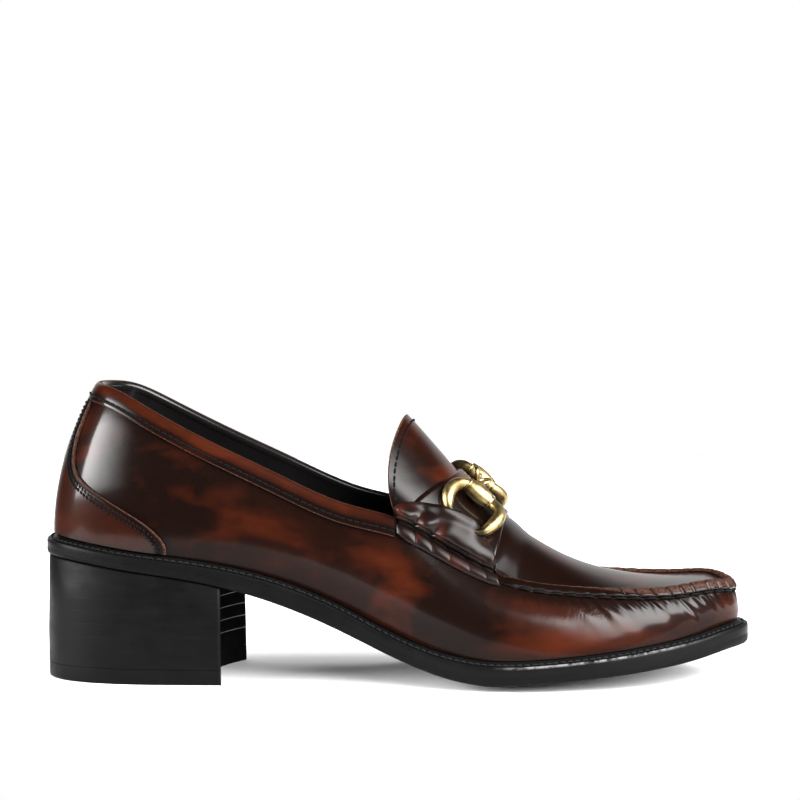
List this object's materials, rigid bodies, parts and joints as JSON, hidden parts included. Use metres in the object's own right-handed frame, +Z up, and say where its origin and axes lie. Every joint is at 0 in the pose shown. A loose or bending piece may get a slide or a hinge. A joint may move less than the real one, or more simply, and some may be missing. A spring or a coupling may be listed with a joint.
{
  "type": "loafer pump",
  "caption": "Women's loafer pump for the right foot, with a block heel, raised moccasin seam, tall tongue and a metal bit over the instep.",
  "frame": {"origin": "centre of the heel's tread on the floor", "axes": "+X to the toe, -Y to the lateral (outer) side of the foot, +Z up"},
  "size_m": [0.2622, 0.0862, 0.11],
  "materials": {
    "upper_leather": "high-shine brushed-off dark red-brown",
    "trim_leather": "high-shine brushed-off dark red-brown with pale cut edges",
    "bit_metal": "antique brass",
    "welt_leather": "black edge dressing, stitched",
    "sole_leather": "black, satin",
    "heel_leather": "black stacked leather, satin",
    "lift_rubber": "matt black",
    "lining_leather": "smooth black lining"
  },
  "bodies": {
    "root": {"upper": "upper_leather", "collar_band": "trim_leather", "heel_counter": "trim_leather", "saddle": "trim_leather", "tab_lateral": "trim_leather", "tab_medial": "trim_leather", "bit_lateral": "bit_metal", "bit_medial": "bit_metal", "welt": "welt_leather", "outsole": "sole_leather", "heel": "heel_leather", "top_lift": "lift_rubber", "insole": "lining_leather"}
  },
  "joints": []
}
